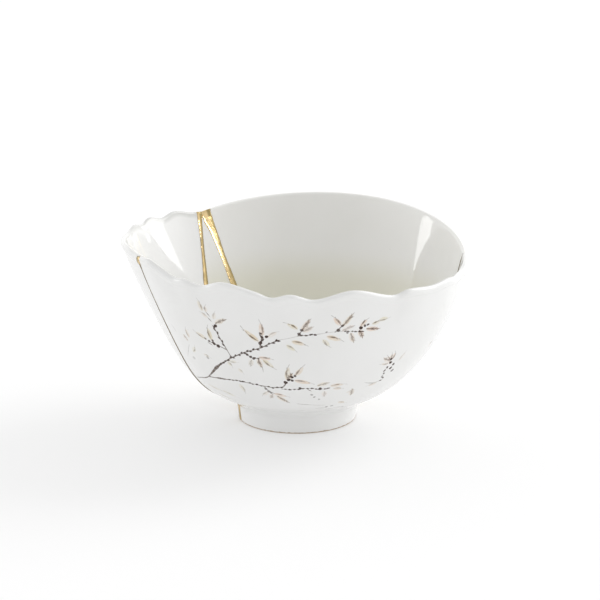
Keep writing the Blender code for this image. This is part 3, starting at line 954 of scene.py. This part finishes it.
def drawTuft(inks, wall, tuft, rng):
    # a feather: a thin vein with barbs on both sides over a pale wash
    azimuth, climb, direction, length, strength = tuft
    bend = brush["tuftBend"]
    vein = bentTrail(azimuth, climb, direction, length, rng.uniform(-bend, bend))
    width = printDesign["leafHalf"] * brush["tuftSwell"]
    drawWash(inks, wall, vein, width, strength * brush["tuftWash"], rng.uniform(*brush["tuftTints"]))
    halves = printDesign["veinHalf"] * np.linspace(*brush["tuftHalves"], len(vein))
    paintStroke(inks["vein"], wall, vein, halves, strength * brush["tuftVein"])
    drawBarbs(inks, wall, vein, length, brush["tuftBarbs"], strength, rng)


def storeInk(front, name, *columns):
    data = np.stack(columns, 1).astype(np.float32)
    layer = front.data.attributes.new(name, "FLOAT_VECTOR", "POINT")
    layer.data.foreach_set("vector", data.ravel())


def paintTwigs(front):
    rng = random.Random(printDesign["seed"])
    wall = openWall(front)
    inks = {name: newLayer(len(wall[1])) for name in ("stem", "vein", "wash", "bud")}
    trails = [drawStem(inks, wall, index) for index in range(len(printDesign["stems"]))]
    for index, first, last, offset in printDesign["knobs"]:
        drawKnobs(inks, wall, trails[index], first, last, offset, rng)
    for leaf in printDesign["leaves"]:
        drawLeaf(inks, wall, leaf, rng)
    for tuft in printDesign["tufts"]:
        drawTuft(inks, wall, tuft, rng)
    for azimuth, climb, direction, length, strength in printDesign["dashes"]:
        end = stepOnWall(azimuth, climb * mm, direction, length * mm)
        trail = [onWall(azimuth, climb * mm)[0], onWall(*end)[0]]
        trail.insert(1, (trail[0] + trail[1]) / 2)
        paintStroke(inks["stem"], wall, trail, brush["dashHalves"], strength)
    for azimuth, climb, size, strength in printDesign["buds"]:
        spot = onWall(azimuth, climb * mm)[0]
        slant = rng.uniform(*brush["budSlants"])
        tip = onWall(*stepOnWall(azimuth, climb * mm, slant, brush["budReach"]))[0]
        radius = printDesign["budRadius"] * size
        paintStroke(inks["bud"], wall, [spot, tip], [radius, radius * brush["budTip"]], strength)
    stem, vein, wash, bud = (inks[name] for name in ("stem", "vein", "wash", "bud"))
    storeInk(front, "stemInk", stem["side"], stem["half"], stem["strength"])
    storeInk(front, "veinInk", vein["side"], vein["half"], vein["strength"])
    storeInk(front, "leafWash", wash["reach"], wash["tint"], wash["strength"])
    storeInk(front, "inkReach", stem["reach"], vein["reach"], bud["reach"])
    storeValues(front, "budInk", bud["strength"])


paintTwigs(shards["frontShard"])
print("painted the twigs")


# Materials

# Patches are (size, detail, the noise's values that give the first and the last share, both shares).
# A waver is (size, detail, amount) of noise that is added to something.

glazeLook = {
    "white": (0.840, 0.840, 0.832, 1),
    "warm": (0.835, 0.830, 0.805, 1),  # the plain pattern's glaze
    "cloudShade": (0.955, 0.955, 0.945, 1),  # how the glaze's faint clouds tint it
    "clouds": (42 * mm, 2, 0.40, 0.72, 0, 0.5),
    "speck": (0.30, 0.26, 0.22, 1),
    "specks": (14 * mm, 0.022, 0.010, 0.72),  # cell, where a speck ends and is full, cells without
    "speckShare": 0.55,
    "lowInsideShade": (0.90, 0.888, 0.785, 1),  # painted shade: inside, the plain pattern's glaze is painted darker and warmer low down, where the bowl's hollow is shaded
    # heights over which the painted shade inside fades out
    "lowShadeHeights": (54 * mm, 78 * mm),
    "lipShade": (0.78, 0.78, 0.765, 1),  # painted shade: the inner half of the scalloped lip is painted grey, for the shaded outline along its edge
    "lipDepths": (0.8 * mm, 2 * mm),  # below the rim
    "lipFades": (50, 80),  # azimuths over which the painted lip shade ends
    "innerSide": (1 * mm, 1.5 * mm),  # the inner face starts this far in from the outer one
    "bareFootAndShadow": (0.44, 0.33, 0.22, 1),
    "bareHeight": 0.7 * mm,  # the foot's edge is bare clay below this, and is also painted dark brown there as its contact shadow
    "bareBlend": 0.2 * mm,
    "bareWaver": (2.2 * mm, 2, 0.9 * mm),
    "clay": (1.2 * mm, 4, 0.3, 0.8, 0.75, 1.15),
    "bareRoughness": 0.75,
    "roughness": 0.035,
    "roughnessWaver": (25 * mm, 2, 0.025),
    "wave": (22 * mm, 1, 0.045),  # heights in mm
    "peel": (3.2 * mm, 1, 0.0030),
    "ior": 1.52,
}

inkLook = {
    "stem": (0.064, 0.030, 0.010, 1),
    "bud": (0.036, 0.012, 0.004, 1),
    "vein": (0.080, 0.036, 0.012, 1),
    "washPink": (0.76, 0.53, 0.38, 1),
    "washOlive": (0.66, 0.57, 0.30, 1),
    "washStrength": 0.70,
    "grain": (1.1 * mm, 3, 0.30, 0.62, 0.65, 1),  # how the ink's strength varies
    "flow": (2.6 * mm, 2, 0.32, 0.66, 0.55, 1),
    # mm past a stroke's edge where its ink ends, and where it is full
    "lineEdge": (0.09, -0.08),
    "lineReach": (0.55, 0.35),
    "washEdge": (0.30, -0.55),
    "budEdge": (0.12, -0.12),
}

goldLook = {
    "bright": (0.70, 0.53, 0.28, 1),
    "olive": (0.33, 0.255, 0.115, 1),
    "patches": (7 * mm, 3, 0.46, 0.70, 0, 0.7),
    "shadedFlank": (-0.15, 0.3),  # painted shade: one side of every seam is painted olive over this share of its half, as the shaded flank of the bead
    "edge": (0.32, 0.18, 0.07, 1),
    "edgeWaver": (2 * mm, 2, 0.3),
    "edgeFade": (1, 1.2, 0, 0.8),
    "worn": (0.20, 0.155, 0.085, 1),  # where the seam is a thin line
    "wornMetal": 0.5,
    "pore": (0.035, 0.022, 0.012, 1),
    "pores": (2.4 * mm, 0.20, 0.12, 0.84),
    "poreDepth": 0.15,  # mm
    "roughness": (3 * mm, 3, 0.3, 0.7, 0.09, 0.20),
    "grain": (0.9 * mm, 3, 0.02),  # mm
}


def addNode(tree, kind, inputs, **settings):
    node = tree.nodes.new("ShaderNode" + kind)
    for name, value in settings.items():
        setattr(node, name, value)
    for name, value in inputs.items():
        if isinstance(value, bpy.types.NodeSocket):
            tree.links.new(value, node.inputs[name])
        else:
            node.inputs[name].default_value = value
    return node


def calculate(tree, operation, *values):
    return addNode(tree, "Math", dict(enumerate(values)), operation=operation).outputs[0]


def fade(tree, value, low, high, bottom=0.0, top=1.0):
    # a smooth step from bottom at low to top at high
    inputs = {0: value, 1: low, 2: high, 3: bottom, 4: top}
    return addNode(tree, "MapRange", inputs, interpolation_type="SMOOTHSTEP").outputs[0]


def mixColours(tree, factor, a, b):
    return addNode(tree, "Mix", {0: factor, 6: a, 7: b}, data_type="RGBA").outputs[2]


def multiplyColours(tree, factor, a, b):
    return addNode(tree, "Mix", {0: factor, 6: a, 7: b}, data_type="RGBA",
                   blend_type="MULTIPLY").outputs[2]


def addNoise(tree, coords, size, detail):
    return addNode(tree, "TexNoise", {"Vector": coords, "Scale": 1 / size, "Detail": detail}).outputs[0]


def addPatches(tree, coords, look):
    size, detail, *span = look
    return fade(tree, addNoise(tree, coords, size, detail), *span)


def addWaver(tree, coords, look, base):
    size, detail, amount = look
    return calculate(tree, "MULTIPLY_ADD", addNoise(tree, coords, size, detail), amount, base)


def addSpots(tree, coords, look):
    # one small round spot in the middle of some cells
    size, end, full, chance = look
    cells = addNode(tree, "TexVoronoi", {"Vector": coords, "Scale": 1 / size})
    draw = addNode(tree, "SeparateColor", {0: cells.outputs["Color"]}).outputs[0]
    return calculate(tree, "MULTIPLY", fade(tree, cells.outputs["Distance"], end, full),
                     calculate(tree, "GREATER_THAN", draw, chance))


def addBump(tree, surface, height):
    bump = addNode(tree, "Bump", {"Height": height, "Distance": mm, "Strength": 1.0})
    tree.links.new(bump.outputs[0], surface.inputs["Normal"])


def objectCoords(tree):
    return addNode(tree, "TexCoord", {}).outputs["Object"]


def readValue(tree, name):
    return addNode(tree, "Attribute", {}, attribute_name=name).outputs["Fac"]


def readParts(tree, name):
    vector = addNode(tree, "Attribute", {}, attribute_name=name).outputs["Vector"]
    return addNode(tree, "SeparateXYZ", {0: vector}).outputs


def makeGlazeGroup():
    look = glazeLook
    group = bpy.data.node_groups.new("glazeFinish", "ShaderNodeTree")
    tint = group.interface.new_socket("Tint", in_out="INPUT", socket_type="NodeSocketColor")
    tint.default_value = look["white"]
    group.interface.new_socket("Colour", in_out="OUTPUT", socket_type="NodeSocketColor")
    for name in ("Roughness", "Height"):
        group.interface.new_socket(name, in_out="OUTPUT", socket_type="NodeSocketFloat")
    start = group.nodes.new("NodeGroupInput")
    end = group.nodes.new("NodeGroupOutput")
    coords = objectCoords(group)

    clouds = addPatches(group, coords, look["clouds"])
    colour = multiplyColours(group, clouds, start.outputs["Tint"], look["cloudShade"])
    speck = calculate(group, "MULTIPLY", addSpots(group, coords, look["specks"]), look["speckShare"])
    colour = mixColours(group, speck, colour, look["speck"])
    # painted shade: low down inside the plain shards, and grey on the scalloped lip's inner half
    for name, shade in (("paintedLowShade", "lowInsideShade"), ("paintedLipShade", "lipShade")):
        colour = multiplyColours(group, readValue(group, name), colour, look[shade])

    ragged = addWaver(group, coords, look["bareWaver"], -look["bareWaver"][2] / 2)
    height = addNode(group, "SeparateXYZ", {0: coords}).outputs[2]
    level = calculate(group, "ADD", height, ragged)
    high, low = look["bareHeight"] + look["bareBlend"], look["bareHeight"] - look["bareBlend"]
    # bare clay at the foot's edge, painted dark as the contact shadow where it meets the floor
    bareShadedEdge = fade(group, level, high, low)
    clay = addPatches(group, coords, look["clay"])
    grey = addNode(group, "CombineXYZ", {0: clay, 1: clay, 2: clay}).outputs[0]
    clayAndShadowColour = multiplyColours(group, 1.0, look["bareFootAndShadow"], grey)
    group.links.new(mixColours(group, bareShadedEdge, colour, clayAndShadowColour), end.inputs["Colour"])

    glossy = addWaver(group, coords, look["roughnessWaver"], look["roughness"])
    bareShare = calculate(group, "MULTIPLY", bareShadedEdge, look["bareRoughness"])
    group.links.new(calculate(group, "MAXIMUM", glossy, bareShare), end.inputs["Roughness"])

    wave = addWaver(group, coords, look["wave"], 0.0)
    group.links.new(addWaver(group, coords, look["peel"], wave), end.inputs["Height"])
    return group


def newMaterial(name):
    material = bpy.data.materials.new(name)
    material.use_nodes = True
    tree = material.node_tree
    tree.nodes.clear()
    surface = addNode(tree, "BsdfPrincipled", {})
    output = addNode(tree, "OutputMaterial", {})
    tree.links.new(surface.outputs[0], output.inputs[0])
    return material, tree, surface


def useGlaze(tree, surface, group, tint):
    glaze = addNode(tree, "Group", {}, node_tree=group)
    glaze.inputs["Tint"].default_value = tint
    addBump(tree, surface, glaze.outputs["Height"])
    tree.links.new(glaze.outputs["Roughness"], surface.inputs["Roughness"])
    surface.inputs["IOR"].default_value = glazeLook["ior"]
    return glaze.outputs["Colour"]


def makePorcelain(name, group, tint):
    material, tree, surface = newMaterial(name)
    tree.links.new(useGlaze(tree, surface, group, tint), surface.inputs["Base Color"])
    return material


def inkLine(tree, name, reach, grain):
    # the share of ink that a kind of stroke lays on the glaze
    side, half, strength = readParts(tree, name)
    distance = calculate(tree, "SUBTRACT", calculate(tree, "ABSOLUTE", side), half)
    line = calculate(tree, "MULTIPLY", fade(tree, distance, *inkLook["lineEdge"]),
                     fade(tree, reach, *inkLook["lineReach"]))
    return calculate(tree, "MULTIPLY", line, calculate(tree, "MULTIPLY", strength, grain))


def makePrintedPorcelain(group):
    look = inkLook
    material, tree, surface = newMaterial("printedPorcelain")
    colour = useGlaze(tree, surface, group, glazeLook["white"])
    coords = objectCoords(tree)
    grain = addPatches(tree, coords, look["grain"])
    flow = addPatches(tree, coords, look["flow"])
    stemReach, veinReach, budReach = readParts(tree, "inkReach")

    washReach, olive, strength = readParts(tree, "leafWash")
    washColour = mixColours(tree, olive, look["washPink"], look["washOlive"])
    wash = calculate(tree, "MULTIPLY", fade(tree, washReach, *look["washEdge"]), strength)
    flow = calculate(tree, "MULTIPLY", flow, look["washStrength"])
    colour = mixColours(tree, calculate(tree, "MULTIPLY", wash, flow), colour, washColour)
    colour = mixColours(tree, inkLine(tree, "veinInk", veinReach, grain), colour, look["vein"])
    colour = mixColours(tree, inkLine(tree, "stemInk", stemReach, grain), colour, look["stem"])
    bud = calculate(tree, "MULTIPLY", fade(tree, budReach, *look["budEdge"]), readValue(tree, "budInk"))
    colour = mixColours(tree, bud, colour, look["bud"])
    tree.links.new(colour, surface.inputs["Base Color"])
    return material


def makeGoldMaterial():
    look = goldLook
    material, tree, surface = newMaterial("kintsugiGold")
    coords = objectCoords(tree)
    side = readValue(tree, "seamSide")
    wear = readValue(tree, "seamWear")
    patches = addPatches(tree, coords, look["patches"])
    # olive where random patches tarnish the gold, and painted shade on one flank of every seam
    tarnishAndShade = calculate(tree, "MAXIMUM", patches, fade(tree, side, *look["shadedFlank"]))
    colour = mixColours(tree, tarnishAndShade, look["bright"], look["olive"])
    edge = addWaver(tree, coords, look["edgeWaver"], calculate(tree, "ABSOLUTE", side))
    colour = mixColours(tree, fade(tree, edge, *look["edgeFade"]), colour, look["edge"])
    colour = mixColours(tree, wear, colour, look["worn"])
    pores = addSpots(tree, coords, look["pores"])
    tree.links.new(mixColours(tree, pores, colour, look["pore"]), surface.inputs["Base Color"])
    metal = calculate(tree, "MULTIPLY_ADD", wear, look["wornMetal"] - 1, 1.0)
    tree.links.new(metal, surface.inputs["Metallic"])
    tree.links.new(addPatches(tree, coords, look["roughness"]), surface.inputs["Roughness"])
    grain = addWaver(tree, coords, look["grain"], 0.0)
    addBump(tree, surface, calculate(tree, "MULTIPLY_ADD", pores, -look["poreDepth"], grain))
    return material


def markPaintedShade(shard, isScalloped):
    # painted shade: grey on the inner half of the scalloped lip, and darker and warmer low down inside
    # the plain shards
    x, y, z = pointsOf(shard.data).T
    azimuth = azimuthOf(x - lean(z), y)
    outer = wallRadius(z) + flute(azimuth, bowlShape["rimHeight"])
    isInner = smoothStep(*glazeLook["innerSide"], outer - np.hypot(x - lean(z), y))
    isInner = isInner * (z > bowlShape["footTop"][1])
    if isScalloped:
        share = 1 - smoothStep(*glazeLook["lipDepths"], rimHeightAt(azimuth) - z)
        share = share * (1 - smoothStep(*glazeLook["lipFades"], azimuth))
        storeValues(shard, "paintedLipShade", share * isInner)
    else:
        share = 1 - smoothStep(*glazeLook["lowShadeHeights"], z)
        storeValues(shard, "paintedLowShade", share * isInner)


for name, shard in shards.items():
    markPaintedShade(shard, name in ("frontShard", "leftShard"))
glazeGroup = makeGlazeGroup()
coats = {
    "frontShard": makePrintedPorcelain(glazeGroup),
    "leftShard": makePorcelain("scallopedPorcelain", glazeGroup, glazeLook["white"]),
    "wedgeShard": makePorcelain("plainPorcelain", glazeGroup, glazeLook["warm"]),
}
coats["backShard"] = coats["wedgeShard"]
coats["goldSeams"] = makeGoldMaterial()

nodesAndSlots = {
    "frontShard": ("front_shard", "printed_porcelain"),
    "leftShard": ("left_shard", "scalloped_porcelain"),
    "wedgeShard": ("wedge_shard", "plain_porcelain"),
    "backShard": ("back_shard", "plain_porcelain"),
    "goldSeams": ("gold_seams", "gold_seam"),
}
pieces = dict(shards, goldSeams=gold)
for name, piece in pieces.items():
    nodeName, slotName = nodesAndSlots[name]
    piece.data.materials.clear()
    piece.data.materials.append(coats[name])
    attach(piece, "root")
    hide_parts(nodeName)
print("glazed", len(pieces), "pieces")


# Floor, light and camera

studio = {
    "floorSize": 16.0,
    "floorColour": (0.62, 0.62, 0.62, 1),
    "floorGlow": 0.32,  # a translucent sheet, lit from below
    "floorRoughness": 0.9,
    "floorShine": 0.1,
    "worldLow": 1.00,  # brightness below the horizon, level with it and overhead
    "worldLevel": 1.28,
    "worldHigh": 1.05,
    "worldSteps": (-0.3, 0.1, 0.8),  # the heights where it has these three
    "worldToRight": 0.10,  # how much brighter it is to the right, to the back and to both sides
    "worldToBack": 0.38,
    "worldToSides": 0.38,
    # softboxes: azimuth, elevation, distance, size (m), radiance and roll
    "softboxes": {
        "keyLight": (123.5, 28, 4.0, (2.00, 3.10), 2.8, 0),
        "stripLight": (-100.8, 4.9, 4.0, (0.76, 0.98), 3.6, 34),
    },
    "glint": (38.5, 21, 4.0, (3.80, 0.80), 9.5, 0),  # seen by the gold alone
    "lookAt": (1.657 * mm, 0, 66.92 * mm),
    "elevation": 16.0,
    "distance": 1.5,
    "lens": 162.9,
    "sensor": 36,
}


def placeAround(azimuth, elevation, distance, centre):
    turn, rise = math.radians(azimuth), math.radians(elevation)
    away = Vector((math.sin(turn) * math.cos(rise), -math.cos(turn) * math.cos(rise), math.sin(rise)))
    return Vector(centre) + away * distance


def faceCentre(item, centre):
    item.rotation_euler = (Vector(centre) - item.location).to_track_quat("-Z", "Y").to_euler()


def addFloor():
    bm = bmesh.new()
    bmesh.ops.create_grid(bm, x_segments=1, y_segments=1, size=studio["floorSize"] / 2)
    floor = newObject("floor", bm)
    material, _, surface = newMaterial("floorPaper")
    surface.inputs["Base Color"].default_value = studio["floorColour"]
    surface.inputs["Roughness"].default_value = studio["floorRoughness"]
    surface.inputs["Specular IOR Level"].default_value = studio["floorShine"]
    surface.inputs["Emission Color"].default_value = (1, 1, 1, 1)
    surface.inputs["Emission Strength"].default_value = studio["floorGlow"]
    floor.data.materials.append(material)


def lightWorld():
    world = bpy.data.worlds.new("studioWorld")
    bpy.context.scene.world = world
    world.use_nodes = True
    tree = world.node_tree
    tree.nodes.clear()
    coords = addNode(tree, "TexCoord", {}).outputs["Generated"]
    right, back, up = addNode(tree, "SeparateXYZ", {0: coords}).outputs
    low, level, high = studio["worldSteps"]
    height = fade(tree, up, low, level, studio["worldLow"], studio["worldLevel"])
    above = fade(tree, up, level, high, 0.0, studio["worldHigh"] - studio["worldLevel"])
    around = calculate(tree, "MULTIPLY_ADD", right, studio["worldToRight"], 1.0)
    squared = calculate(tree, "MULTIPLY", right, right)
    around = calculate(tree, "MULTIPLY_ADD", squared, studio["worldToSides"], around)
    around = calculate(tree, "MULTIPLY_ADD", back, studio["worldToBack"], around)
    strength = calculate(tree, "MULTIPLY", calculate(tree, "ADD", height, above), around)
    background = addNode(tree, "Background", {"Strength": strength})
    output = addNode(tree, "OutputWorld", {})
    tree.links.new(background.outputs[0], output.inputs[0])


def addSoftbox(name, azimuth, elevation, distance, size, radiance, roll, receivers=()):
    light = bpy.data.lights.new(name, "AREA")
    light.shape = "RECTANGLE"
    light.size, light.size_y = size
    light.energy = radiance * math.pi * size[0] * size[1]
    lamp = bpy.data.objects.new(name, light)
    lamp.location = placeAround(azimuth, elevation, distance, studio["lookAt"])
    faceCentre(lamp, studio["lookAt"])
    lamp.rotation_euler.rotate_axis("Z", math.radians(roll))
    bpy.context.scene.collection.objects.link(lamp)
    if receivers:
        lit = bpy.data.collections.new(name + "Receivers")
        for item in receivers:
            lit.objects.link(item)
        lamp.light_linking.receiver_collection = lit


def addCamera():
    camera = bpy.data.cameras.new("camera")
    camera.lens = studio["lens"]
    camera.sensor_width = studio["sensor"]
    holder = bpy.data.objects.new("camera", camera)
    holder.location = placeAround(0, studio["elevation"], studio["distance"], studio["lookAt"])
    faceCentre(holder, studio["lookAt"])
    bpy.context.scene.collection.objects.link(holder)
    bpy.context.scene.camera = holder


addFloor()
lightWorld()
for name, softbox in studio["softboxes"].items():
    addSoftbox(name, *softbox)
addSoftbox("glint", *studio["glint"], receivers=[gold])
addCamera()
bpy.context.scene.view_settings.view_transform = "Standard"
print("set up the studio")
